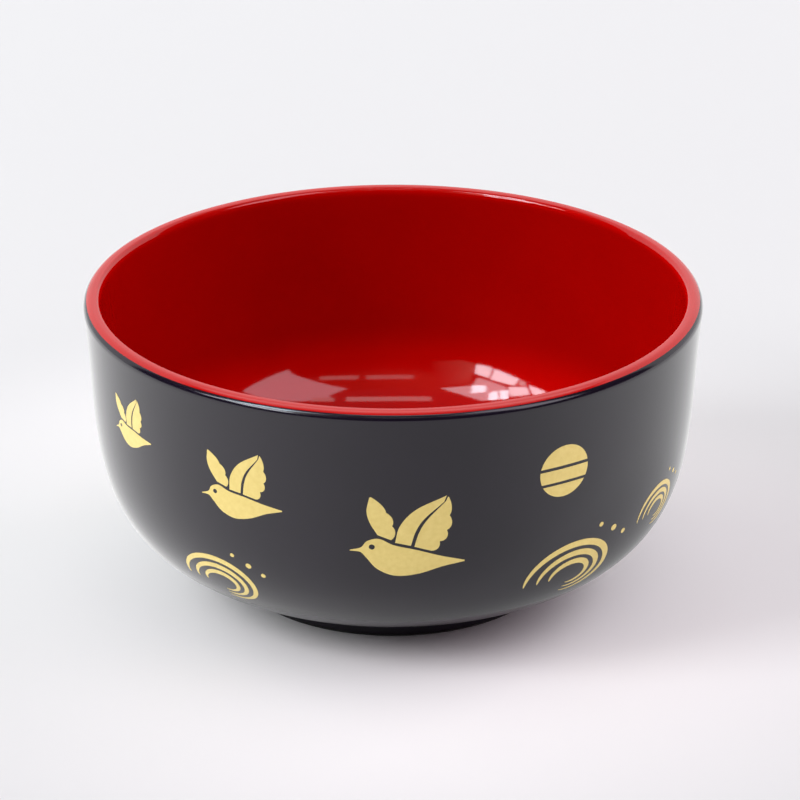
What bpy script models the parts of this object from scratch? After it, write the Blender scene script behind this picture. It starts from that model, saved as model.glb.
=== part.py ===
"""A two-colour lacquer-style bowl on a low foot ring, in the layers it is made of.

A moulded core carries the shape and the foot. A black coat covers its outside and a red coat its
inside and the rim. All three are turned from one finished section, so the layers follow each
other when a size changes. Metres, +Z up, the bowl's axis on Z, the foot on Z = 0.
"""

import math

import bpy
import numpy as np

# Overall sizes.
RIM_DIAMETER = 0.1300
HEIGHT = 0.0644
FOOT_DIAMETER = 0.0657
FOOT_HEIGHT = 0.0038

# Rim: its thickness, the quarter ellipse that rounds it inside, the larger round shoulder outside.
RIM_THICKNESS = 0.0036
LIP_WIDTH = 0.0010
LIP_DROP = 0.0016
SHOULDER_RADIUS = 0.0020

# Wall: it draws in below the rim by the draft, and each handle is how far a wall keeps the
# direction it has at that end before it bends into the belly.
WALL_DRAFT = math.radians(6.3)
OUTER_RIM_HANDLE = 0.0310
INNER_RIM_HANDLE = 0.0240
UNDERSIDE_SLOPE = math.radians(14.8)
UNDERSIDE_HANDLE = 0.03375

# Floor: a shallow dish over the foot.
FLOOR_INSET = 0.0033
FLOOR_SLOPE = math.radians(5.0)
FLOOR_HANDLE = 0.0340
FLOOR_RISE = 0.0034
BASE_THICKNESS = 0.0046

# Foot ring.
FOOT_DRAFT = math.radians(6.0)
FOOT_WIDTH = 0.0032
FOOT_FILLET = 0.0008
FOOT_EDGE = 0.0003
RECESS_FILLET = 0.0008

# Coats: thickness, the clearance under and between them, where on the shoulder red meets black
# (measured down from the top), and the bare edge of the foot that stands on the table.
COAT_THICKNESS = 0.00025
COAT_CLEARANCE = 0.0001
COLOUR_LINE = math.radians(44.0)
FOOT_BARE = 0.0006

# Fineness of the facets.
TURN_STEPS = 56
WALL_POINTS = 12
ROUND_POINTS = 3

# Sizes that follow from those above.
RIM_RADIUS = RIM_DIAMETER / 2
FOOT_RADIUS = FOOT_DIAMETER / 2
FOOT_CORNER = (FOOT_RADIUS + FOOT_HEIGHT * math.tan(FOOT_DRAFT), FOOT_HEIGHT)
FLOOR_RADIUS = FOOT_CORNER[0] - FLOOR_INSET
FLOOR_CENTRE = FOOT_HEIGHT + FLOOR_RISE
RECESS_DEPTH = FLOOR_CENTRE - BASE_THICKNESS
CORE_DEPTH = COAT_THICKNESS + COAT_CLEARANCE


# Section curves. Each is an array with rows of radius, height and the unit direction of travel.

def along(angle, length):
    """The step of this length in the direction `angle`, as (radius, height)."""
    return np.array([math.cos(angle), math.sin(angle)]) * length


def bezier(controls, count):
    """A Bezier curve by repeated halving between its control points (de Casteljau)."""
    t = np.linspace(0.0, 1.0, count)[:, None]
    levels = [np.broadcast_to(np.asarray(point, float), (count, 2)) for point in controls]
    while len(levels) > 2:
        levels = [(1 - t) * a + t * b for a, b in zip(levels, levels[1:])]
    heading = levels[1] - levels[0]
    heading = heading / np.linalg.norm(heading, axis=1, keepdims=True)
    return np.hstack([(1 - t) * levels[0] + t * levels[1], heading])


def clockwise_arc(centre, across, up, start, end, count):
    """Part of an ellipse with half-axes `across` and `up`, from angle `start` down to angle `end`."""
    angle = np.linspace(start, end, count)
    place = np.stack([centre[0] + across * np.cos(angle), centre[1] + up * np.sin(angle)], axis=1)
    heading = np.stack([across * np.sin(angle), -up * np.cos(angle)], axis=1)
    heading = heading / np.linalg.norm(heading, axis=1, keepdims=True)
    return np.hstack([place, heading])


def sunk(curve, depth):
    """The curve moved into the wall by `depth`: the wall lies to the right of the travel."""
    into_wall = np.stack([curve[:, 3], -curve[:, 2]], axis=1)
    moved = curve.copy()
    moved[:, :2] += into_wall * depth
    return moved


def shoulder(start, end, count):
    centre = (RIM_RADIUS - SHOULDER_RADIUS, HEIGHT - SHOULDER_RADIUS)
    return clockwise_arc(centre, SHOULDER_RADIUS, SHOULDER_RADIUS, start, end, count)


def inside_surface():
    """The finished inside: from the middle of the floor up to the inner edge of the rim top."""
    floor_edge = np.array([FLOOR_RADIUS, FLOOR_CENTRE + FLOOR_RADIUS * math.tan(FLOOR_SLOPE) / 2])
    floor = bezier([(0, FLOOR_CENTRE), (FLOOR_RADIUS / 2, FLOOR_CENTRE), floor_edge], ROUND_POINTS + 1)
    lip_centre = (RIM_RADIUS - RIM_THICKNESS + LIP_WIDTH, HEIGHT - LIP_DROP)
    lip_start = math.pi - math.atan(LIP_DROP * math.tan(WALL_DRAFT) / LIP_WIDTH)
    lip = clockwise_arc(lip_centre, LIP_WIDTH, LIP_DROP, lip_start, math.pi / 2, ROUND_POINTS)
    controls = [
        floor_edge,
        floor_edge + along(FLOOR_SLOPE, FLOOR_HANDLE),
        lip[0, :2] - along(math.pi / 2 - WALL_DRAFT, INNER_RIM_HANDLE),
        lip[0, :2],
    ]
    wall = bezier(controls, WALL_POINTS)
    return np.vstack([floor, wall[1:], lip[1:]])


def outside_surface():
    """The finished outside: from the end of the shoulder down to the bare edge of the foot."""
    top = shoulder(math.pi / 2, -WALL_DRAFT, 2)[-1, :2]
    corner = np.array(FOOT_CORNER)
    underside_end = corner + along(UNDERSIDE_SLOPE, FOOT_FILLET)
    flank_start = corner - along(math.pi / 2 - FOOT_DRAFT, FOOT_FILLET)
    controls = [
        top,
        top - along(math.pi / 2 - WALL_DRAFT, OUTER_RIM_HANDLE),
        underside_end + along(UNDERSIDE_SLOPE, UNDERSIDE_HANDLE),
        underside_end,
    ]
    wall = bezier(controls, WALL_POINTS)
    fillet = bezier([underside_end, corner, flank_start], ROUND_POINTS)
    flank_end = corner - along(math.pi / 2 - FOOT_DRAFT, (FOOT_HEIGHT - FOOT_BARE) / math.cos(FOOT_DRAFT))
    flank = bezier([flank_start, flank_end], 2)
    return np.vstack([wall, fillet[1:], flank[1:]])


def red_surface():
    """What the red coat shows: the inside, the rim top and the shoulder down to the colour line."""
    line = math.pi / 2 - COLOUR_LINE + COAT_CLEARANCE / (2 * SHOULDER_RADIUS)
    return np.vstack([inside_surface(), shoulder(math.pi / 2, line, 2)])


def black_surface():
    """What the black coat shows: the rest of the shoulder, the wall, the underside, the foot."""
    line = math.pi / 2 - COLOUR_LINE - COAT_CLEARANCE / (2 * SHOULDER_RADIUS)
    return np.vstack([shoulder(line, 0.0, ROUND_POINTS), outside_surface()])


# Closed sections of the three pieces.

def coat_section(surface):
    """A coat: its finished surface, then the same surface a coat's thickness deeper, back again."""
    return np.vstack([surface[:, :2], sunk(surface, COAT_THICKNESS)[::-1, :2]])


def core_section():
    """The core: both finished surfaces sunk under the coats, then the bare foot and its recess.

    The black coat ends just above a small ledge, so the bare edge below stands flush with it.
    """
    whole = np.vstack([inside_surface(), shoulder(math.pi / 2, 0.0, ROUND_POINTS), outside_surface()])
    coated = sunk(whole, CORE_DEPTH)[:, :2]
    ledge = FOOT_BARE - COAT_CLEARANCE
    inner = FOOT_RADIUS - FOOT_WIDTH
    step_out = [(coated[-1, 0], ledge), (FOOT_RADIUS + ledge * math.tan(FOOT_DRAFT), ledge)]
    edge_top = (FOOT_RADIUS + FOOT_EDGE * math.tan(FOOT_DRAFT), FOOT_EDGE)
    outer_edge = bezier([edge_top, (FOOT_RADIUS, 0), (FOOT_RADIUS - FOOT_EDGE, 0)], ROUND_POINTS)
    inner_edge = bezier([(inner + FOOT_EDGE, 0), (inner, 0), (inner, FOOT_EDGE)], ROUND_POINTS)
    recess_corner = [(inner, RECESS_DEPTH - RECESS_FILLET), (inner, RECESS_DEPTH), (inner - RECESS_FILLET, RECESS_DEPTH)]
    recess = bezier(recess_corner, ROUND_POINTS)
    bare = np.vstack([step_out, outer_edge[:, :2], inner_edge[:, :2], recess[:, :2], [(0, RECESS_DEPTH)]])
    return np.vstack([coated, bare])


# Scene, materials and turning.

def clear_scene():
    for thing in list(bpy.data.objects):
        bpy.data.objects.remove(thing, do_unlink=True)


def finish(name, colour, roughness, coat=0.0):
    """A Principled material in plain colour; `coat` is the clear gloss on top."""
    material = bpy.data.materials.new(name)
    material.use_nodes = True
    shader = material.node_tree.nodes["Principled BSDF"]
    shader.inputs["Base Color"].default_value = (*colour, 1.0)
    shader.inputs["Roughness"].default_value = roughness
    shader.inputs["Coat Weight"].default_value = coat
    material.diffuse_color = (*colour, 1.0)
    return material


def turned(name, section, closed, material, collection, parent):
    """One piece turned about Z from its section in the XZ plane by a Screw modifier."""
    count = len(section)
    points = [(radius, 0.0, height) for radius, height in section]
    edges = [(index, index + 1) for index in range(count - 1)]
    if closed:
        edges.append((count - 1, 0))
    mesh = bpy.data.meshes.new(name)
    mesh.from_pydata(points, edges, [])
    mesh.materials.append(material)
    piece = bpy.data.objects.new(name, mesh)
    collection.objects.link(piece)
    piece.parent = parent
    screw = piece.modifiers.new("Turn", "SCREW")
    screw.axis = "Z"
    screw.angle = 2 * math.pi
    screw.steps = TURN_STEPS
    screw.render_steps = TURN_STEPS
    screw.use_merge_vertices = True
    screw.merge_threshold = 0.00001
    screw.use_smooth_shade = True
    return piece


def build():
    clear_scene()
    collection = bpy.data.collections.new("lacquer_style_bowl")
    bpy.context.scene.collection.children.link(collection)
    axis = bpy.data.objects.new("bowl_axis", None)
    axis.empty_display_size = RIM_RADIUS
    collection.objects.link(axis)

    resin = finish("moulded_resin", (0.020, 0.019, 0.019), 0.55)
    black = finish("black_coat", (0.013, 0.012, 0.013), 0.28)
    red = finish("red_coat", (0.340, 0.006, 0.005), 0.12, coat=0.5)

    turned("moulded_core", core_section(), False, resin, collection, axis)
    turned("black_outer_coat", coat_section(black_surface()), True, black, collection, axis)
    turned("red_inner_coat", coat_section(red_surface()), False, red, collection, axis)


build()
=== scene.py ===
# %% [markdown]
# # A lacquer-style bowl, dressed over its CAD frame
# The object is a round serving bowl: satin black outside, glossy red inside and over the rim, with a
# gold print round the wall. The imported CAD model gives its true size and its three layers, in facets.
# This lesson turns the same layers again as fine smooth surfaces, gives each its finish, lays the print
# on the wall, and then sets up the paper, the light and the camera.

# %% Load the frame
import math

import bpy
import numpy as np
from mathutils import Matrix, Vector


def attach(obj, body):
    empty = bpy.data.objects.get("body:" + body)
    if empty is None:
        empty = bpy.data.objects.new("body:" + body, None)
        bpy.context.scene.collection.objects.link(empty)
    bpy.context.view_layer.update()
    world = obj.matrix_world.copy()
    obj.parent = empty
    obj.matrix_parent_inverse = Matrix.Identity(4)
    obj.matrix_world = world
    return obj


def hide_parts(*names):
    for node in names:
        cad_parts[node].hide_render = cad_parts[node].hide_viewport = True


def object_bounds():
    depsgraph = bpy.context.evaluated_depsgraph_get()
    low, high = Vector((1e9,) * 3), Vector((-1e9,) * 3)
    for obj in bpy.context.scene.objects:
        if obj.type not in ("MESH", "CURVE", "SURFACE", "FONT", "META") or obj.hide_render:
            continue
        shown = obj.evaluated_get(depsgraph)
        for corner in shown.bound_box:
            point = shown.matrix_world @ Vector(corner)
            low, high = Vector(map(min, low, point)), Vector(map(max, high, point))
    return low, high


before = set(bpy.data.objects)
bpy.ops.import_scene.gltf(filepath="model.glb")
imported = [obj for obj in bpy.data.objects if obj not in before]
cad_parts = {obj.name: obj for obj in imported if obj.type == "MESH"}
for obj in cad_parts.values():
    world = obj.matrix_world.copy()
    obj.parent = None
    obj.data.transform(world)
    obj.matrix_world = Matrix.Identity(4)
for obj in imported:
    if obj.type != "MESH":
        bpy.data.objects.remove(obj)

cad_box = [list(corner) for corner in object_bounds()]
print("CAD nodes:", sorted(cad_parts))
print("CAD box in mm:", [[round(1000 * value, 2) for value in corner] for corner in cad_box])

# %% [markdown]
# ## The section
# A bowl is turned, so one section drawn in the plane of radius and height says everything about its
# form. It could be traced point by point, but a few curves that meet in line with each other give a
# smooth reflection, and black gloss shows every kink. The rim's radius and the height come from the
# frame, and the other sizes are those of the CAD model, in metres.

# %% Sizes of the section
RIM_RADIUS = round(cad_box[1][0], 5)
HEIGHT = round(cad_box[1][2], 5)
RIM_THICKNESS = 0.0036
LIP_WIDTH, LIP_DROP = 0.0010, 0.0016
SHOULDER_RADIUS = 0.0020
WALL_DRAFT = math.radians(6.3)
OUTER_RIM_HANDLE, INNER_RIM_HANDLE = 0.0310, 0.0240
UNDERSIDE_SLOPE, UNDERSIDE_HANDLE = math.radians(14.8), 0.03375
FOOT_RADIUS = 0.03285
FOOT_HEIGHT = 0.0038
FOOT_DRAFT = math.radians(6.0)
FOOT_WIDTH = 0.0032
FOOT_FILLET, FOOT_EDGE, FOOT_BARE = 0.0008, 0.0003, 0.0006
FLOOR_CENTRE, FLOOR_INSET = 0.0072, 0.0033
FLOOR_SLOPE, FLOOR_HANDLE = math.radians(5.0), 0.0340
RECESS_DEPTH, RECESS_FILLET = 0.0026, 0.0008
COAT_THICKNESS, COAT_CLEARANCE = 0.00025, 0.0001
COLOUR_LINE = math.radians(44.0)
foot_corner = np.array([FOOT_RADIUS + FOOT_HEIGHT * math.tan(FOOT_DRAFT), FOOT_HEIGHT])
print("foot corner at radius", round(1000 * foot_corner[0], 2), "mm")

# %% Curves of the section
def step(angle, length):
    """A step of `length` in the direction `angle`, as (radius, height)."""
    return np.array([math.cos(angle), math.sin(angle)]) * length


def bezier(controls, count):
    """Bezier curve: each level is the mean of two neighbours, weighted by how far along t is.

    Returns rows of radius, height and the unit direction of travel.
    """
    t = np.linspace(0.0, 1.0, count)[:, None]
    levels = [np.broadcast_to(np.asarray(point, float), (count, 2)) for point in controls]
    while len(levels) > 2:
        levels = [(1 - t) * a + t * b for a, b in zip(levels, levels[1:])]
    heading = levels[1] - levels[0]
    heading = heading / np.linalg.norm(heading, axis=1, keepdims=True)
    return np.hstack([(1 - t) * levels[0] + t * levels[1], heading])


def arc(centre, across, up, start, end, count):
    """Ellipse from angle `start` down to `end`: centre plus (across times cosine, up times sine)."""
    angle = np.linspace(start, end, count)
    place = np.stack([centre[0] + across * np.cos(angle), centre[1] + up * np.sin(angle)], axis=1)
    heading = np.stack([across * np.sin(angle), -up * np.cos(angle)], axis=1)
    return np.hstack([place, heading / np.linalg.norm(heading, axis=1, keepdims=True)])


def sunk(curve, depth):
    """The curve moved by `depth` into the wall, which lies to the right of the travel."""
    return curve[:, :2] + np.stack([curve[:, 3], -curve[:, 2]], axis=1) * depth


print("a straight curve ends at", bezier([(0, 0), (1, 2)], 3)[-1, :2])

# %% The finished surface, inside
lip_start = math.pi - math.atan(LIP_DROP * math.tan(WALL_DRAFT) / LIP_WIDTH)
lip = arc((RIM_RADIUS - RIM_THICKNESS + LIP_WIDTH, HEIGHT - LIP_DROP), LIP_WIDTH, LIP_DROP,
          lip_start, math.pi / 2, 14)
floor_radius = foot_corner[0] - FLOOR_INSET
floor_edge = np.array([floor_radius, FLOOR_CENTRE + floor_radius * math.tan(FLOOR_SLOPE) / 2])
dish = bezier([(0, FLOOR_CENTRE), (floor_radius / 2, FLOOR_CENTRE), floor_edge], 24)
inner_wall = bezier([floor_edge, floor_edge + step(FLOOR_SLOPE, FLOOR_HANDLE),
                     lip[0, :2] - step(math.pi / 2 - WALL_DRAFT, INNER_RIM_HANDLE), lip[0, :2]], 90)
shoulder_centre = (RIM_RADIUS - SHOULDER_RADIUS, HEIGHT - SHOULDER_RADIUS)
line_angle = math.pi / 2 - COLOUR_LINE
red_shoulder = arc(shoulder_centre, SHOULDER_RADIUS, SHOULDER_RADIUS, math.pi / 2, line_angle, 12)
red_surface = np.vstack([dish, inner_wall[1:], lip[1:], red_shoulder])
print("points on the red side:", len(red_surface))

# %% The finished surface, outside
black_shoulder = arc(shoulder_centre, SHOULDER_RADIUS, SHOULDER_RADIUS, line_angle, -WALL_DRAFT, 14)
underside_end = foot_corner + step(UNDERSIDE_SLOPE, FOOT_FILLET)
outer_wall = bezier([black_shoulder[-1, :2],
                     black_shoulder[-1, :2] - step(math.pi / 2 - WALL_DRAFT, OUTER_RIM_HANDLE),
                     underside_end + step(UNDERSIDE_SLOPE, UNDERSIDE_HANDLE), underside_end], 120)
flank_start = foot_corner - step(math.pi / 2 - FOOT_DRAFT, FOOT_FILLET)
flank_end = foot_corner - step(math.pi / 2 - FOOT_DRAFT, (FOOT_HEIGHT - FOOT_BARE) / math.cos(FOOT_DRAFT))
foot_fillet = bezier([underside_end, foot_corner, flank_start], 8)
flank = bezier([flank_start, flank_end], 6)
black_surface = np.vstack([black_shoulder, outer_wall[1:], foot_fillet[1:], flank[1:]])
print("points on the black side:", len(black_surface))

# %% [markdown]
# ## Turning
# A Screw modifier could turn the section, as in the CAD model. Here the surface is worked out as a grid
# of two parameters, the place along the section and the angle round the axis, because that gives full
# control of the poles: where the section meets the axis, one single point closes the surface.

# %% Turn a section into a closed mesh
ROUND_STEPS = 288


def mesh_piece(name, points, faces, sharp=35.0):
    """A new object at the origin from points and faces, smooth except at edges over `sharp` degrees."""
    mesh = bpy.data.meshes.new(name)
    mesh.from_pydata(points, [], faces)
    mesh.update()
    mesh.shade_smooth()
    mesh.set_sharp_from_angle(angle=math.radians(sharp))
    piece = bpy.data.objects.new(name, mesh)
    bpy.context.scene.collection.objects.link(piece)
    return piece


def turned(name, section, closed):
    """Point (i, j) is (radius_i cos a_j, radius_i sin a_j, height_i), with a_j = 2 pi j / ROUND_STEPS.

    A closed section joins its last row to its first. An open one starts and ends on the axis, and there
    each row shrinks to one pole point.
    """
    rows = section if closed else section[1:-1]
    angle = np.linspace(0.0, 2 * math.pi, ROUND_STEPS, endpoint=False)
    grid = np.stack([np.outer(rows[:, 0], np.cos(angle)), np.outer(rows[:, 0], np.sin(angle)),
                     np.repeat(rows[:, 1:2], ROUND_STEPS, axis=1)], axis=2)
    points = grid.reshape(-1, 3)
    index = np.arange(len(points)).reshape(-1, ROUND_STEPS)
    beside = np.roll(index, -1, axis=1)
    if closed:
        below, below_beside = np.roll(index, -1, axis=0), np.roll(beside, -1, axis=0)
        faces = np.stack([index, below, below_beside, beside], axis=2).reshape(-1, 4).tolist()
    else:
        faces = np.stack([index[:-1], index[1:], beside[1:], beside[:-1]], axis=2).reshape(-1, 4).tolist()
        pole = np.full(ROUND_STEPS, len(points))
        points = np.vstack([points, [(0, 0, section[0, 1]), (0, 0, section[-1, 1])]])
        faces += np.stack([pole, index[0], beside[0]], axis=1).tolist()
        faces += np.stack([pole + 1, beside[-1], index[-1]], axis=1).tolist()
    return mesh_piece(name, points, faces)


print("each ring has", ROUND_STEPS, "points")

# %% [markdown]
# ## The three layers
# The coats are thin shells: the finished surface, and the same surface a coat's thickness deeper. They
# meet at the colour line on the rim's shoulder, where the mask ran when the bowl was sprayed. The core
# shows only under the bowl, at the edge it stands on and in the recess. The black coat ends just above a
# small ledge there, so the bare edge is flush with it.

# %% Sections of the two coats
def coat_section(surface):
    """Along the finished surface, and back along the same surface a coat's thickness deeper."""
    return np.vstack([surface[:, :2], sunk(surface, COAT_THICKNESS)[::-1]])


red_coat = turned("red_coat", coat_section(red_surface), False)
black_coat = turned("black_coat", coat_section(black_surface), True)
print("coats made:", red_coat.name, "and", black_coat.name)

# %% Section of the core
coated = sunk(np.vstack([red_surface, black_surface[1:]]), COAT_THICKNESS + COAT_CLEARANCE)
ledge = FOOT_BARE - COAT_CLEARANCE
stand_inner = FOOT_RADIUS - FOOT_WIDTH
step_out = [(coated[-1, 0], ledge), (FOOT_RADIUS + ledge * math.tan(FOOT_DRAFT), ledge)]
outer_edge = bezier([(FOOT_RADIUS + FOOT_EDGE * math.tan(FOOT_DRAFT), FOOT_EDGE), (FOOT_RADIUS, 0),
                     (FOOT_RADIUS - FOOT_EDGE, 0)], 6)[:, :2]
inner_edge = bezier([(stand_inner + FOOT_EDGE, 0), (stand_inner, 0), (stand_inner, FOOT_EDGE)], 6)[:, :2]
recess = bezier([(stand_inner, RECESS_DEPTH - RECESS_FILLET), (stand_inner, RECESS_DEPTH),
                 (stand_inner - RECESS_FILLET, RECESS_DEPTH)], 8)[:, :2]
core_section = np.vstack([coated, step_out, outer_edge, inner_edge, recess, [(0, RECESS_DEPTH)]])
core = turned("core", core_section, False)
for piece, node in ((red_coat, "red_inner_coat"), (black_coat, "black_outer_coat"), (core, "moulded_core")):
    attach(piece, "root")
    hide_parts(node)
    print(piece.name, "has", len(piece.data.polygons), "faces")

# %% [markdown]
# ## The gold print
# On the real bowl the print is a film of metallic ink, a few hundredths of a millimetre thick. It could
# be a mask in the black coat's material, but a film of its own has a crisp edge at any size, keeps its
# own finish, and is there in the mesh itself. The design is plovers over waves, an old pattern in
# free use. Each shape is drawn flat, as a patch ruled between two curves, and then laid on the wall.

# %% Lay a flat design on the wall
PRINT_LIFT = 0.00003
wall_steps = np.linalg.norm(np.diff(outer_wall[:, :2], axis=0), axis=1)
wall_length = np.concatenate([[0.0], np.cumsum(wall_steps)])
print("the wall is", round(1000 * wall_length[-1], 1), "mm long from the shoulder to the foot")


def on_wall(flat, azimuth, height, lift):
    """Flat (x, y) goes round the axis by x over the wall's radius at `height`, and up the section by y.

    Azimuth 0 faces the viewer and grows to the right. `lift` moves the point out along the wall's normal.
    """
    start = np.interp(-height, -outer_wall[:, 1], wall_length)
    girth = np.interp(start, wall_length, outer_wall[:, 0])
    place = start - flat[..., 1]
    radius, z, run_r, run_z = [np.interp(place, wall_length, column) for column in outer_wall.T]
    turn = math.radians(azimuth) + flat[..., 0] / girth
    radius, z = radius - run_z * lift, z + run_r * lift
    return np.stack([radius * np.sin(turn), -radius * np.cos(turn), z], axis=-1)


def shell(flat, azimuth, height, lift):
    """A closed film over one patch: its grid lifted off the wall, the grid sunk, and a strip between."""
    along, across = np.gradient(flat, axis=0), np.gradient(flat, axis=1)
    if np.sum(along[..., 0] * across[..., 1] - along[..., 1] * across[..., 0]) < 0:
        flat = flat[::-1]
    rows, columns = flat.shape[:2]
    points = np.vstack([on_wall(flat, azimuth, height, side).reshape(-1, 3) for side in (lift, -lift)])
    top = np.arange(rows * columns).reshape(rows, columns)
    quads = np.stack([top[:-1, :-1], top[1:, :-1], top[1:, 1:], top[:-1, 1:]], axis=2).reshape(-1, 4)
    rim = np.concatenate([top[:-1, 0], top[-1, :-1], top[:0:-1, -1], top[0, :0:-1]])
    ahead = np.roll(rim, -1)
    strip = np.stack([rim + top.size, ahead + top.size, ahead, rim], axis=1)
    return points, np.vstack([quads, quads[:, ::-1] + top.size, strip])


def film(name, patches, lift=PRINT_LIFT):
    """One piece from many (flat patch, azimuth, height), each laid on the wall as its own closed film."""
    shells = [shell(*patch, lift) for patch in patches]
    starts = np.cumsum([0] + [len(points) for points, _ in shells[:-1]])
    faces = np.vstack([quads + start for (_, quads), start in zip(shells, starts)])
    return mesh_piece(name, np.vstack([points for points, _ in shells]), faces.tolist())

# %% Draw in the flat
MILLIMETRE = 0.001


def through(*points, count=56):
    """Smooth curve through the points: a cubic between two, with slopes from the points on either side."""
    p = np.asarray(points, float)
    p = np.vstack([2 * p[0] - p[1], p, 2 * p[-1] - p[-2]])
    t = np.linspace(0.0, len(points) - 1 - 1e-9, count)
    k = t.astype(int)
    u = (t - k)[:, None]
    a, b, c, d = p[k], p[k + 1], p[k + 2], p[k + 3]
    return 0.5 * (2 * b + (c - a) * u + (2 * a - 5 * b + 4 * c - d) * u**2 + (3 * b - a - 3 * c + d) * u**3)


def ruled(one, other, count=7):
    """The patch between two curves: point (i, j) lies the fraction s_j of the way from one_i to other_i."""
    s = np.linspace(0.0, 1.0, count)[None, :, None]
    return one[:, None] * (1 - s) + other[:, None] * s


def beside(curve, offset):
    """The curve moved to its right by `offset`, one value or one for each point."""
    run = np.gradient(curve, axis=0)
    right = np.stack([run[:, 1], -run[:, 0]], axis=1) / np.linalg.norm(run, axis=1, keepdims=True)
    return curve + right * np.reshape(offset, (-1, 1))


def dot(x, y, radius, count=9):
    """A disc from a square grid (u, v), so that it has no pole.

    Its points are u root(1 - v v / 2) across and v root(1 - u u / 2) up, times the radius.
    """
    u, v = np.meshgrid(np.linspace(-1, 1, count), np.linspace(-1, 1, count), indexing="ij")
    across, up = u * np.sqrt(1 - v * v / 2), v * np.sqrt(1 - u * u / 2)
    return np.stack([x + radius * across, y + radius * up], axis=2)


def placed(patches, scale=1.0, tilt=0.0):
    """Patches drawn in millimetres, turned by `tilt` degrees and scaled, in metres."""
    c, s = math.cos(math.radians(tilt)), math.sin(math.radians(tilt))
    return [patch @ np.array([[c, s], [-s, c]]) * scale * MILLIMETRE for patch in patches]


print("a dot is a grid of", dot(0.0, 0.0, 1.0).shape[:2], "points")

# %% Plover
def scalloped(curve, depth, feathers):
    """A trailing edge of feather tips: bulges of |sin|, shallower towards the wing tip."""
    t = np.linspace(0.0, 1.0, len(curve))
    return beside(curve, depth * np.abs(np.sin(math.pi * feathers * t)) ** 0.6 * (1 - 0.55 * t))


def plover():
    """Body, wing covert, flight feathers and far wing, in millimetres, flying to the left."""
    body = ruled(through((11.5, -0.6), (6.5, 0.6), (1.5, 2.0), (-3.2, 3.0), (-6.2, 4.3), (-8.6, 3.6),
                         (-9.8, 2.0), (-12.0, 1.2)),
                 through((11.5, -0.9), (7.0, -2.0), (2.0, -3.9), (-2.6, -4.5), (-6.3, -3.0), (-8.6, -0.4),
                         (-9.9, 0.9), (-12.0, 1.0)))
    covert = ruled(through((-3.0, 3.6), (-2.2, 7.6), (0.8, 11.4), (6.6, 14.6)),
                   through((0.2, 3.0), (1.0, 6.4), (2.6, 9.4), (6.2, 13.2)))
    feathers = ruled(through((0.9, 2.8), (1.7, 6.2), (3.2, 9.2), (6.6, 13.4)),
                     scalloped(through((3.9, 2.0), (6.3, 5.0), (7.4, 8.8), (6.9, 14.4)), 1.15, 4))
    far_wing = ruled(through((-6.6, 5.2), (-8.3, 8.0), (-9.0, 10.6), (-8.6, 13.6)),
                     scalloped(through((-3.9, 4.2), (-3.9, 7.4), (-5.2, 10.4), (-8.4, 13.8)), 0.8, 3))
    return [body, covert, feathers, far_wing]


print("a plover has", len(plover()), "patches")

# %% Wave and veiled sun
def wave():
    """Three nested crests: arcs that curl in, as wide as a sine of the way along them, and spray."""
    t = np.linspace(0.0, 1.0, 90)
    angle = math.pi * (1.02 - 1.55 * t)
    crests = []
    for size in (1.0, 0.72, 0.46):
        reach = 9.0 * size * (1 - 0.42 * t**2)
        crest = np.stack([1.25 * reach * np.cos(angle), reach * np.sin(angle)], axis=1)
        width = 0.75 * np.sin(math.pi * t**0.75).clip(0.0) ** 0.7 * (0.75 + 0.25 * size) + 0.03
        crests.append(ruled(beside(crest, -width), beside(crest, width), 4))
    return crests + [dot(9.5, 9.2, 0.75), dot(13.0, 7.0, 0.6), dot(5.5, 11.4, 0.55)]


def sun(radius=5.8, bands=((-1.0, -0.5), (-0.39, 0.1), (0.22, 0.9999))):
    """A disc cut by level bars of mist: each band spans x = plus and minus root(1 - y y)."""
    patches = []
    for low, high in bands:
        y = np.linspace(max(low, -0.9999), high, 40)
        half = np.stack([np.sqrt(1 - y * y), y], axis=1) * radius
        patches.append(ruled(half * (-1, 1), half))
    return patches


print("a wave has", len(wave()), "patches and a sun", len(sun()))

# %% Print the design twice round the bowl
EYE_LIFT = 0.00005
EYE = (-7.6, 2.3, 0.6)
# Azimuth in degrees and height in metres, then the scale, and the tilt of a bird
BIRDS = ((3.0, 0.0315, 1.0, -3.0), (-29.0, 0.0405, 0.8, 4.0), (-57.0, 0.0465, 0.6, 8.0))
WAVES = ((38.0, 0.0205, 1.0), (63.0, 0.0270, 0.7), (-37.0, 0.0185, 0.85))
SUN = (33.0, 0.0470)
birds, waves, suns, eyes = [], [], [], []
for turn in (0.0, 180.0):
    for azimuth, height, scale, tilt in BIRDS:
        birds += [(patch, azimuth + turn, height) for patch in placed(plover(), scale, tilt)]
        eyes += [(patch, azimuth + turn, height) for patch in placed([dot(*EYE)], scale, tilt)]
    for azimuth, height, scale in WAVES:
        waves += [(patch, azimuth + turn, height) for patch in placed(wave(), scale)]
    suns += [(patch, SUN[0] + turn, SUN[1]) for patch in placed(sun())]
gold_birds = film("gold_birds", birds)
gold_waves = film("gold_waves", waves)
gold_suns = film("gold_suns", suns)
bird_eyes = film("bird_eyes", eyes, EYE_LIFT)
for piece in (gold_birds, gold_waves, gold_suns, bird_eyes):
    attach(piece, "root")
    print(piece.name, "has", len(piece.data.polygons), "faces")
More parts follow.
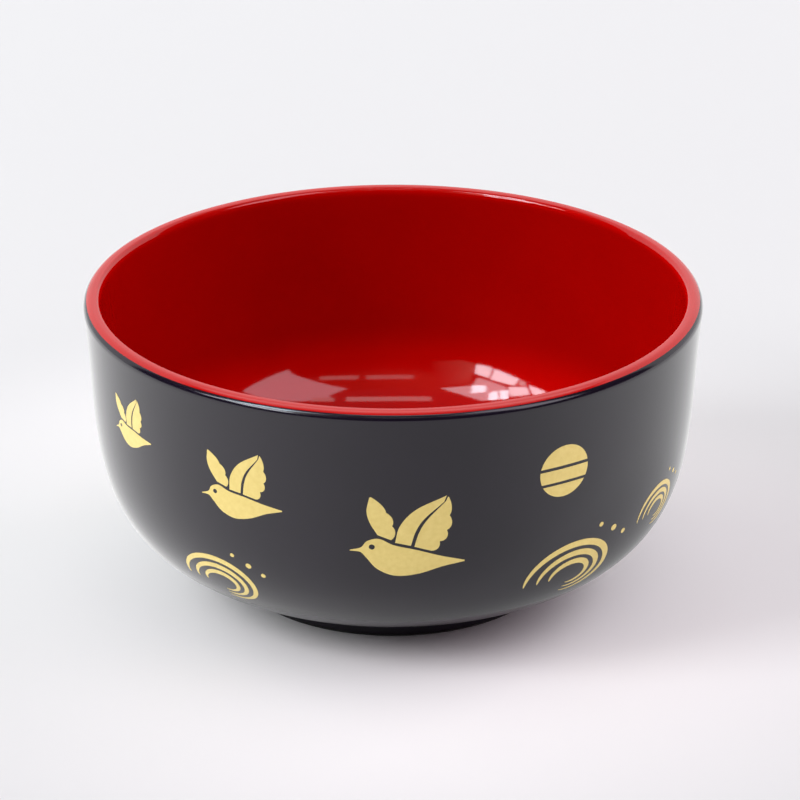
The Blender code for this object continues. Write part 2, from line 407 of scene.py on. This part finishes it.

# %% [markdown]
# ## Finishes
# Sprayed lacquer levels out to a skin with a faint, wide ripple, and it is never one even colour. Each
# finish is a Principled shader whose colour, roughness and bump come from noise on Object coordinates, so
# that the pattern stays on the bowl from every side. An image could hold the same, but it would have to be
# unwrapped. The numbers that don't vary sit on the shader itself. The red's colour also follows the height
# as painted light: brighter in the dish and on the rim, where light falls, and darker on the steep wall.
# The gold is an ink with metal powder in it, so it is only partly metal.

# %% A finish with its own grain
def finish(name, low, high, roughness, grain, ripple, depth, metallic=0.0, ior=1.5):
    """Colour runs from `low` to `high`, and roughness over its two values, with one noise.

    `grain` is the scale of that noise per metre, `ripple` the scale of the bump's noise, and `depth` the
    height of the bump in metres.
    """
    material = bpy.data.materials.new(name)
    material.use_nodes = True
    nodes, links = material.node_tree.nodes, material.node_tree.links
    shader = nodes["Principled BSDF"]
    shader.inputs["Metallic"].default_value = metallic
    shader.inputs["IOR"].default_value = ior
    place = nodes.new("ShaderNodeTexCoord")

    cloud = nodes.new("ShaderNodeTexNoise")
    cloud.inputs["Scale"].default_value = grain
    cloud.inputs["Detail"].default_value = 4.0
    links.new(place.outputs["Object"], cloud.inputs["Vector"])
    tint = nodes.new("ShaderNodeValToRGB")
    tint.color_ramp.elements[0].position, tint.color_ramp.elements[1].position = 0.3, 0.7
    tint.color_ramp.elements[0].color, tint.color_ramp.elements[1].color = (*low, 1.0), (*high, 1.0)
    links.new(cloud.outputs["Fac"], tint.inputs["Fac"])
    links.new(tint.outputs["Color"], shader.inputs["Base Color"])

    spread = nodes.new("ShaderNodeMapRange")
    spread.inputs["To Min"].default_value, spread.inputs["To Max"].default_value = roughness
    links.new(cloud.outputs["Fac"], spread.inputs["Value"])
    links.new(spread.outputs["Result"], shader.inputs["Roughness"])

    skin = nodes.new("ShaderNodeTexNoise")
    skin.inputs["Scale"].default_value = ripple
    skin.inputs["Detail"].default_value = 2.0
    links.new(place.outputs["Object"], skin.inputs["Vector"])
    bump = nodes.new("ShaderNodeBump")
    bump.inputs["Strength"].default_value = 1.0
    bump.inputs["Distance"].default_value = depth
    links.new(skin.outputs["Fac"], bump.inputs["Height"])
    links.new(bump.outputs["Normal"], shader.inputs["Normal"])
    return material

# %% Painted light on the red coat, by height
def paint_light_by_height(material, stops):
    """Painted light: colour times a share by height; each stop is (height in metres, share)."""
    nodes, links = material.node_tree.nodes, material.node_tree.links
    apart = nodes.new("ShaderNodeSeparateXYZ")
    links.new(nodes["Texture Coordinate"].outputs["Object"], apart.inputs["Vector"])
    level = nodes.new("ShaderNodeMapRange")
    level.inputs["From Max"].default_value = HEIGHT
    links.new(apart.outputs["Z"], level.inputs["Value"])
    share = nodes.new("ShaderNodeValToRGB")
    share.color_ramp.interpolation = "EASE"
    while len(share.color_ramp.elements) < len(stops):
        share.color_ramp.elements.new(0.5)
    for element, (height, value) in zip(share.color_ramp.elements, stops):
        element.position, element.color = height / HEIGHT, (value, value, value, 1.0)
    links.new(level.outputs["Result"], share.inputs["Fac"])
    over = nodes.new("ShaderNodeMix")
    over.data_type, over.blend_type = "RGBA", "MULTIPLY"
    over.inputs["Factor"].default_value = 1.0
    links.new(nodes["Color Ramp"].outputs["Color"], over.inputs["A"])
    links.new(share.outputs["Color"], over.inputs["B"])
    links.new(over.outputs["Result"], nodes["Principled BSDF"].inputs["Base Color"])

# %% The four finishes
# Painted light by height: dish and rim brighter, where light falls, and the steep wall darker
RED_LIGHT_SHARES = ((0.0205, 1.0), (0.0340, 0.56), (0.0622, 0.56), (0.0640, 0.87))
red_lacquer = finish("red_lacquer", (0.615, 0.0009, 0.0006), (0.655, 0.0015, 0.0009),
                     roughness=(0.055, 0.080), grain=60.0, ripple=260.0, depth=0.000002)
paint_light_by_height(red_lacquer, RED_LIGHT_SHARES)
black_lacquer = finish("black_lacquer", (0.0074, 0.0046, 0.0110), (0.0092, 0.0058, 0.0134),
                       roughness=(0.13, 0.18), grain=80.0, ripple=420.0, depth=0.000003, ior=1.53)
bare_resin = finish("bare_resin", (0.012, 0.011, 0.011), (0.018, 0.017, 0.017),
                    roughness=(0.45, 0.60), grain=900.0, ripple=3000.0, depth=0.00002)
gold_ink = finish("gold_ink", (0.81, 0.63, 0.202), (0.874, 0.696, 0.245),
                  roughness=(0.32, 0.42), grain=900.0, ripple=4000.0, depth=0.000004, metallic=0.30)
print("finishes:", [material.name for material in (red_lacquer, black_lacquer, bare_resin, gold_ink)])

# %% Coat the layers and the print
for piece, material in ((red_coat, red_lacquer), (black_coat, black_lacquer), (core, bare_resin),
                        (gold_birds, gold_ink), (gold_waves, gold_ink), (gold_suns, gold_ink),
                        (bird_eyes, black_lacquer)):
    piece.data.materials.append(material)
    print(piece.name, "wears", material.name)

# %% [markdown]
# ## Paper
# The bowl stands on white paper. A plane would do, but a disc of rings has small faces near the bowl and
# large ones far out, and reaches the horizon with few of them. Its colour is brightest and a little pink
# near the bowl, painted light that lifts and tints the bowl's shadow, and darker far out, so that the far
# floor stays below pure white.

# %% Rings round the axis
RING_POINTS = 96


def rings(reach, height):
    """Point (i, j) is (reach_i sin t_j, -reach_i cos t_j, height), with t_j = 2 pi j / RING_POINTS."""
    turn = np.linspace(0.0, 2 * math.pi, RING_POINTS, endpoint=False)
    level = np.full((len(reach), RING_POINTS), height)
    points = np.stack([np.outer(reach, np.sin(turn)), -np.outer(reach, np.cos(turn)), level], axis=2)
    index = np.arange(level.size).reshape(level.shape)
    ahead = np.roll(index, -1, axis=1)
    faces = np.stack([index[:-1], index[1:], ahead[1:], ahead[:-1]], axis=2)
    return points.reshape(-1, 3), faces.reshape(-1, 4).tolist()


def paper_disc(radius=9.0, count=12):
    """Rings whose radius grows as the square of their number, closed by one point in the middle."""
    points, faces = rings(radius * (np.arange(1, count + 1) / count) ** 2, 0.0)
    first = np.arange(RING_POINTS)
    faces += np.stack([np.full(RING_POINTS, len(points)), first, np.roll(first, -1)], axis=1).tolist()
    return mesh_piece("paper", np.vstack([points, [(0, 0, 0)]]), faces)


paper = paper_disc()
print("paper:", [round(value, 2) for value in paper.dimensions], "m")

# %% White paper, with painted light round the bowl
def painted_light_outward(material, near, far):
    """Painted light: the ramp follows the distance from the axis, smoothly from `near` to `far`, not noise.
    """
    nodes, links = material.node_tree.nodes, material.node_tree.links
    reach = nodes.new("ShaderNodeVectorMath")
    reach.operation = "LENGTH"
    fade = nodes.new("ShaderNodeMapRange")
    fade.interpolation_type = "SMOOTHSTEP"
    fade.inputs["From Min"].default_value, fade.inputs["From Max"].default_value = near, far
    links.new(nodes["Texture Coordinate"].outputs["Object"], reach.inputs[0])
    links.new(reach.outputs["Value"], fade.inputs["Value"])
    links.new(fade.outputs["Result"], nodes["Color Ramp"].inputs["Fac"])
    nodes["Color Ramp"].color_ramp.elements[0].position = 0.0
    nodes["Color Ramp"].color_ramp.elements[1].position = 1.0


# Painted light: brighter and pinker near the bowl, lifting and tinting its shadow, and darker far out
white_paper = finish("white_paper", (0.972, 0.952, 0.960), (0.70, 0.70, 0.705),
                     roughness=(0.85, 0.95), grain=40.0, ripple=2500.0, depth=0.00001)
painted_light_outward(white_paper, near=0.060, far=0.157)
white_paper.node_tree.nodes["Principled BSDF"].inputs["Specular IOR Level"].default_value = 0.0
paper.data.materials.append(white_paper)
print(paper.name, "wears", white_paper.name)

# %% [markdown]
# ## Light
# A studio has two kinds of thing round an object: lamps, which light it, and bright or dark things that a
# gloss shows. Area lights could be both at once. Here they are apart: lamps only light, cards are only
# reflected, and the camera sees neither, so that the soft shading and the sharp reflections can each be
# set without upsetting the other. Each is a piece of a large sphere round the bowl, and its place is given
# in degrees, as azimuth and elevation.

# %% Places on the sphere
def direction(azimuth, elevation):
    """Unit vector: azimuth 0 is straight back and 90 to the right, both angles in degrees."""
    a, e = np.radians(azimuth), np.radians(elevation)
    return np.stack([np.sin(a) * np.cos(e), np.cos(a) * np.cos(e), np.sin(e)], axis=-1)


def dome_patch(azimuths, elevations, distance, count):
    """Points and faces of a patch of a sphere: a grid over the two spans of angles."""
    a, e = np.meshgrid(np.linspace(*azimuths, count), np.linspace(*elevations, count))
    index = np.arange(count * count).reshape(count, count)
    faces = np.stack([index[:-1, :-1], index[:-1, 1:], index[1:, 1:], index[1:, :-1]], axis=2)
    return direction(a, e).reshape(-1, 3) * distance, faces.reshape(-1, 4).tolist()


print("azimuth 90 points to", direction(90, 0).round(3))

# %% Things that glow
FIRST_REFLECTION, SECOND_REFLECTION = 1.5, 2.5


def math_node(tree, operation, first, second):
    """A Math node on two sockets, or on a socket and a number."""
    node = tree.nodes.new("ShaderNodeMath")
    node.operation = operation
    tree.links.new(first, node.inputs[0])
    if isinstance(second, float):
        node.inputs[1].default_value = second
    else:
        tree.links.new(second, node.inputs[1])
    return node.outputs["Value"]


def glowing(name, points, faces, strength, colour=(1.0, 1.0, 1.0), glow=None):
    """A piece of the set that the camera doesn't see: a lamp, or with `glow` a card for reflections alone.

    `glow` is one share of the strength for each point. A card shows in the first reflection only, so that
    the bowl's inside doesn't repeat it.
    """
    piece = mesh_piece(name, points, faces)
    material = bpy.data.materials.new(name)
    material.use_nodes = True
    tree = material.node_tree
    tree.nodes.clear()
    shader = tree.nodes.new("ShaderNodeEmission")
    shader.inputs["Color"].default_value = (*colour, 1.0)
    shader.inputs["Strength"].default_value = strength
    if glow is not None:
        material.cycles.emission_sampling = "NONE"
        values = piece.data.attributes.new("glow", "FLOAT", "POINT").data
        values.foreach_set("value", np.ravel(glow) * strength)
        reading = tree.nodes.new("ShaderNodeAttribute")
        reading.attribute_name = "glow"
        depth = tree.nodes.new("ShaderNodeLightPath").outputs["Ray Depth"]
        first = math_node(tree, "LESS_THAN", depth, FIRST_REFLECTION)
        tree.links.new(math_node(tree, "MULTIPLY", reading.outputs["Fac"], first), shader.inputs["Strength"])
    output = tree.nodes.new("ShaderNodeOutputMaterial")
    tree.links.new(shader.outputs["Emission"], output.inputs["Surface"])
    piece.data.materials.append(material)
    piece.visible_camera = piece.visible_shadow = False
    piece.visible_diffuse, piece.visible_glossy = glow is None, glow is not None
    return piece

# %% Lamps
LAMP_DISTANCE, LAMP_GRID = 2.6, 19
# Name, span of azimuth, span of elevation, strength, colour
LAMPS = (("lamp_window", (-125, -100), (20, 46), 8.2, (0.99, 1.0, 1.01)),
         ("lamp_window_side", (-138, -106), (22, 46), 1.7, (0.99, 1.0, 1.01)),
         ("lamp_left", (-110, -50), (12, 55), 2.0, (0.92, 1.0, 1.0)),
         ("lamp_right", (50, 110), (35, 55), 2.9, (1.05, 1.0, 1.03)),
         ("lamp_right_low", (50, 115), (0, 35), 1.6, (1.22, 1.0, 1.12)),
         ("lamp_front_left", (180, 250), (28, 52), 1.5, (1.06, 1.0, 1.05)),
         ("lamp_front_right", (110, 180), (28, 52), 1.15, (1.06, 1.0, 1.05)),
         ("lamp_front_top", (110, 180), (52, 75), 0.75, (1.04, 1.0, 1.03)),
         ("lamp_back", (-50, 50), (12, 30), 3.0, (0.96, 1.0, 1.0)),
         ("lamp_back_top", (-50, 50), (30, 55), 0.4, (0.96, 1.0, 1.0)),
         ("lamp_back_strip", (-50, 50), (0, 12), 4.0, (0.96, 1.0, 1.0)))
for name, azimuths, elevations, strength, colour in LAMPS:
    glowing(name, *dome_patch(azimuths, elevations, LAMP_DISTANCE, LAMP_GRID), strength, colour)
print(len(LAMPS), "lamps")

# %% [markdown]
# ## What the gloss shows
# The red dish mirrors the panes of a window on the left, a softer one on the right, and tubes in the
# ceiling between them. An image of a room round the bowl could give all that. A few polygons are enough,
# and each can be moved by itself. Above the back hangs a soft light whose edges fade, so that no hard line
# runs through the dish when it is seen from above, and in front is a dim room.

# %% Small cards
CARD_DISTANCE, TUBE_DISTANCE, SPOT_DISTANCE = 2.2, 2.15, 2.1
SPOT_STRENGTH, SPOT_COLOUR = 20.0, (0.78, 1.0, 1.12)


def card(name, corners, strength, colour=(1.0, 1.0, 1.0), distance=CARD_DISTANCE, glow=1.0):
    """A polygon whose corners lie at the given (azimuth, elevation) pairs, as seen from the bowl."""
    angles = np.array(corners, float)
    points = direction(angles[:, 0], angles[:, 1]) * distance
    shares = np.broadcast_to(glow, len(points))
    return glowing(name, points, [list(range(len(points)))], strength, colour, shares)


# Name, strength, colour, corners
CARDS = (("card_pane_1", 13.0, (0.97, 1.0, 1.08),
          [(-142.8, 20.6), (-135.0, 19.7), (-134.6, 29.1), (-142.1, 27.9)]),
         ("card_pane_2", 13.5, (0.97, 1.0, 1.08),
          [(-134.2, 20.7), (-121.0, 22.6), (-121.3, 29.2), (-133.6, 29.8)]),
         ("card_pane_3", 6.0, (1.0, 1.0, 1.0),
          [(-120.4, 22.8), (-117.2, 23.2), (-116.8, 26.9), (-120.2, 26.7)]),
         ("card_pane_4", 13.0, (1.0, 1.0, 1.08),
          [(-115.4, 24.4), (-106.0, 23.5), (-106.0, 28.0), (-110.5, 29.9)]),
         ("card_pane_5", 13.0, (0.9, 1.0, 1.08),
          [(-123.6, 31.4), (-115.2, 26.2), (-111.3, 31.0), (-117.7, 38.4)]),
         ("card_pane_low", 5.5, (0.97, 1.0, 1.08),
          [(-154.3, 46.5), (-139.8, 38.7), (-139.8, 30.6), (-133.4, 31.2), (-124.5, 32.0),
           (-118.5, 39.7), (-127.1, 50.5)]),
         ("card_window_right", 2.8, (1.08, 1.0, 1.13),
          [(132.2, 20.2), (133.4, 24.7), (140.4, 34.1), (154.6, 47.1), (142.1, 51.1), (142.0, 56.0),
           (124.4, 49.7), (115.6, 41.7), (107.0, 24.0), (118.0, 21.0)]))
SPOTS = ([(-139.7, 38.8), (-133.6, 35.5), (-130.6, 41.4), (-136.8, 45.8)],
         [(-128.8, 41.6), (-126.6, 37.4), (-120.8, 44.5), (-124.4, 48.3)],
         [(-125.5, 36.8), (-121.8, 33.8), (-117.4, 41.2), (-120.2, 44.0)])
TUBES = ((1.5, [(144.7, 31.5), (163.0, 35.4), (162.4, 39.1), (143.7, 34.9)]),
         (1.5, [(166.8, 36.0), (189.6, 35.9), (190.0, 39.7), (166.4, 39.7)]),
         (2.2, [(132.6, 49.2), (143.4, 54.0), (140.4, 57.9), (129.6, 52.9)]),
         (2.4, [(150.3, 55.6), (204.1, 56.4), (206.7, 61.1), (147.2, 60.2)]))
WALL_GLOW = [(-164.0, 23.2), (-149.7, 19.6), (-143.5, 20.2), (-143.0, 28.4), (-141.3, 37.5), (-155.1, 44.0)]
for name, strength, colour, corners in CARDS:
    card(name, corners, strength, colour)
for number, corners in enumerate(SPOTS, 1):
    card(f"card_spot_{number}", corners, SPOT_STRENGTH, SPOT_COLOUR, SPOT_DISTANCE)
for number, (strength, corners) in enumerate(TUBES, 1):
    card(f"card_tube_{number}", corners, strength, distance=TUBE_DISTANCE)
card("card_wall_glow", WALL_GLOW, 1.0, (1.2, 1.0, 0.8), glow=(0.0, 0.5, 0.8, 0.8, 0.35, 0.15))
print(len(CARDS) + len(SPOTS) + len(TUBES) + 1, "small cards")

# %% Soft light above and dim room in front
ROOF_DISTANCE, BOARD_DISTANCE, SOFT_GRID = 2.6, 2.7, 37
ZENITH = 89.9
# Spans over which a glow eases from nothing to full: in degrees, and across in shares of the distance
ROOF_RISE, ROOF_LEAN, ROOF_ACROSS = (50, 58), (106, 66), (0.64, 0.35)
ROOM_LEAN, ROOM_RISE, ROOM_LEFT = (90, 106), (29, 37), (150, 200)
# Shares of the roof's strength at its low edge and in front, and of the room's on the right
EDGE_SHARE, FRONT_SHARE, RIGHT_SHARE = 0.42, 0.065, 0.5


def ease(value, start, end):
    """0 at `start`, 1 at `end`, and 3 u u - 2 u u u between them, with u the share of the way."""
    u = np.clip((value - start) / (end - start), 0.0, 1.0)
    return u * u * (3 - 2 * u)


def roof_card(name, strength):
    """A soft light above the back, on a cap of a sphere that is dim in front.

    It fades forward over the top, towards both sides, and down to the brightness of the world at its edge.
    """
    points, faces = dome_patch((-180, 180), (ROOF_RISE[0], ZENITH), ROOF_DISTANCE, SOFT_GRID)
    across, back, up = points.T / ROOF_DISTANCE
    lean = np.degrees(np.arctan2(up, back))
    low_edge = EDGE_SHARE + (1 - EDGE_SHARE) * ease(np.degrees(np.arcsin(up)), *ROOF_RISE)
    light = ease(lean, *ROOF_LEAN) * ease(np.abs(across), *ROOF_ACROSS) * low_edge
    return glowing(name, points, faces, strength, glow=light + FRONT_SHARE * ease(lean, *ROOM_LEAN))


def front_board(name, strength, colour):
    """The dim room in front, on part of a sphere: dark low down, and on the left twice as bright."""
    points, faces = dome_patch((75, 285), (-1, ZENITH), BOARD_DISTANCE, SOFT_GRID)
    across, back, up = points.T / BOARD_DISTANCE
    leftness = ease(np.degrees(np.arctan2(across, back)) % 360, *ROOM_LEFT)
    rise = ease(np.degrees(np.arcsin(up)), *ROOM_RISE)
    return glowing(name, points, faces, strength, colour, rise * (RIGHT_SHARE + (1 - RIGHT_SHARE) * leftness))


roof_card("card_back_top", 2.2)
front_board("board_front", 0.14, (1.6, 1.0, 0.65))
print("one soft light above and one dim board")

# %% [markdown]
# The black wall is a mirror for the paper. The paper itself could be what it shows, but then the wall's
# tones would change with every lamp. So a ring just above the paper shows in reflections alone: brighter
# to the sides, and darker towards the bowl, where its shadow lies.

# %% Paper as the gloss sees it
FRONT_LEVEL, SIDE_GAIN, SIDE_LEAN, FRONT_LEAN = 0.80, 0.55, 0.13, 0.36
SHADOW_LEFT, SHADOW_RIGHT = 0.060, 0.127
DEEPEST_LEFT, DEEPEST_RIGHT = 0.48, 0.40


def paper_glow(inner=0.044, outer=0.60, count=26, height=0.0004):
    """A ring on the paper for reflections alone, brighter to the sides by the square of the azimuth's sine.

    In front it is about as bright as the paper looks, a little more so on the left than on the right, and
    behind it stays as bright as at the side. Towards the bowl it fades into the shadow, by a power of the
    share of the way out of it, and the shadow reaches further on the right.
    """
    reach = np.geomspace(inner, outer, count)
    points, faces = rings(reach, height)
    turn = np.linspace(0.0, 2 * math.pi, RING_POINTS, endpoint=False)[None, :]
    side = np.where(np.cos(turn) > 0, np.sin(turn) ** 2, 1.0)
    lean = FRONT_LEAN * np.sin(turn) * np.cos(turn).clip(0.0) ** 3
    lit = FRONT_LEVEL + side * (SIDE_GAIN - SIDE_LEAN * np.sin(turn)) - lean
    rightness = (1 + np.sin(turn)) / 2
    shadow_end = SHADOW_LEFT + (SHADOW_RIGHT - SHADOW_LEFT) * rightness**6
    share = ((reach[:, None] - inner) / (shadow_end - inner)).clip(0.0, 1.0)
    way_out = share ** (0.5 + 0.5 * rightness)
    deepest = DEEPEST_LEFT + (DEEPEST_RIGHT - DEEPEST_LEFT) * rightness
    glow = lit * (deepest + (1 - deepest) * way_out)
    return glowing("card_paper", points, faces, 1.0, glow=glow)


paper_glow()
print("mirrored paper set")

# %% [markdown]
# The world is the pale backdrop. It could light the bowl as well, but that would flatten the shading, so
# Light Path lets the camera and the reflections see it, and it gives no light. The bowl's inside would
# mirror it over and over, so it shows in the first two reflections only.

# %% Pale world, seen but giving no light
world = bpy.data.worlds.new("studio")
bpy.context.scene.world = world
world.use_nodes = True
background = world.node_tree.nodes["Background"].inputs
background["Color"].default_value = (0.93, 0.93, 0.94, 1.0)
path = world.node_tree.nodes.new("ShaderNodeLightPath").outputs
early = math_node(world.node_tree, "LESS_THAN", path["Ray Depth"], SECOND_REFLECTION)
mirrored = math_node(world.node_tree, "MULTIPLY", path["Is Glossy Ray"], early)
direct = math_node(world.node_tree, "MAXIMUM", path["Is Transmission Ray"], path["Is Camera Ray"])
seen = math_node(world.node_tree, "MAXIMUM", mirrored, direct)
world.node_tree.links.new(seen, background["Strength"])
print("world set")

# %% [markdown]
# ## Camera
# The camera stands well back with a long lens, so the rim's ellipse is nearly that of a parallel view. It
# could be placed by eye, but its place was found by fitting the outline: 17 rim radii from the rim's
# centre, about 22 degrees above it.

# %% Camera
CAMERA_DISTANCE = 17.0 * RIM_RADIUS
CAMERA_ELEVATION = math.radians(21.945)
CAMERA_PITCH = math.radians(23.1245)
CAMERA_RIGHT = 0.00144
PICTURE_PIXELS, FOCAL_PIXELS = 800.0, 5262.4
lens = bpy.data.cameras.new("camera")
lens.sensor_fit = "HORIZONTAL"
lens.sensor_width = 36.0
lens.lens = lens.sensor_width * FOCAL_PIXELS / PICTURE_PIXELS
lens.clip_end = 20.0
camera = bpy.data.objects.new("camera", lens)
camera.location = (CAMERA_RIGHT, -CAMERA_DISTANCE * math.cos(CAMERA_ELEVATION),
                   HEIGHT + CAMERA_DISTANCE * math.sin(CAMERA_ELEVATION))
camera.rotation_euler = (math.pi / 2 - CAMERA_PITCH, 0.0, 0.0)
bpy.context.scene.collection.objects.link(camera)
bpy.context.scene.camera = camera
bpy.context.scene.view_settings.view_transform = "Standard"
print("camera at", [round(value, 3) for value in camera.location], "lens", round(lens.lens, 1), "mm")
